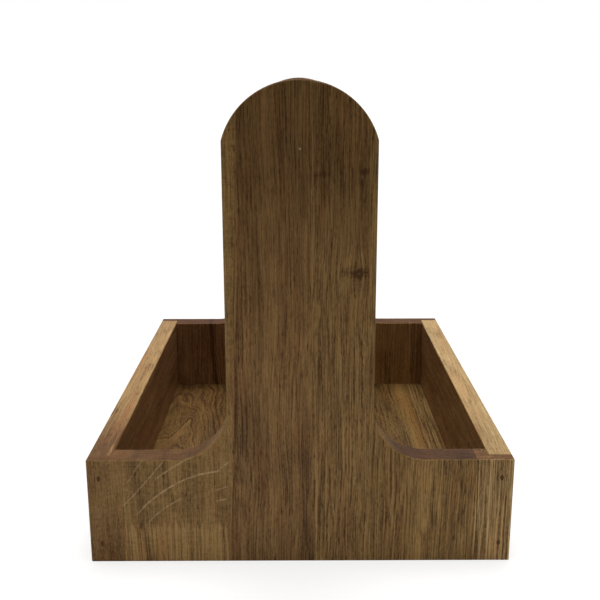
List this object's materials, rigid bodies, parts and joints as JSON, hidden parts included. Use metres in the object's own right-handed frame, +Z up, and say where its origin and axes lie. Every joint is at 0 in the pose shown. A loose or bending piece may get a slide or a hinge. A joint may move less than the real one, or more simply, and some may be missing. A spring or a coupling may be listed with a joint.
{
  "type": "handled tray",
  "caption": "Open oak tray with tall round-headed end panels joined by a round carrying handle, low side rails and a thin board floor.",
  "frame": {"origin": "middle of the footprint, on the surface that the tray stands on", "axes": "+X across the tray's width, +Y from the front end panel to the back one, +Z up"},
  "size_m": [0.32, 0.35, 0.361],
  "materials": {
    "panel_oak": "oiled oak, vertical grain",
    "rail_oak": "oiled oak, grain along the rail",
    "floor_oak": "oiled oak, grain front to back",
    "handle_oak": "oiled oak dowel",
    "steel": "plain steel wire",
    "filler": "dark wood filler"
  },
  "bodies": {
    "root": {"front_panel_stave_1": "panel_oak", "front_panel_stave_2": "panel_oak", "front_panel_stave_3": "panel_oak", "front_panel_stave_4": "panel_oak", "front_panel_stave_5": "panel_oak", "front_panel_stave_6": "panel_oak", "back_panel_stave_1": "panel_oak", "back_panel_stave_2": "panel_oak", "back_panel_stave_3": "panel_oak", "back_panel_stave_4": "panel_oak", "back_panel_stave_5": "panel_oak", "back_panel_stave_6": "panel_oak", "left_rail": "rail_oak", "right_rail": "rail_oak", "floor_stave_1": "floor_oak", "floor_stave_2": "floor_oak", "floor_stave_3": "floor_oak", "floor_stave_4": "floor_oak", "handle": "handle_oak", "corner_brads": "steel", "floor_brads": "steel", "handle_pins": "steel", "brad_filler": "filler"}
  },
  "joints": []
}
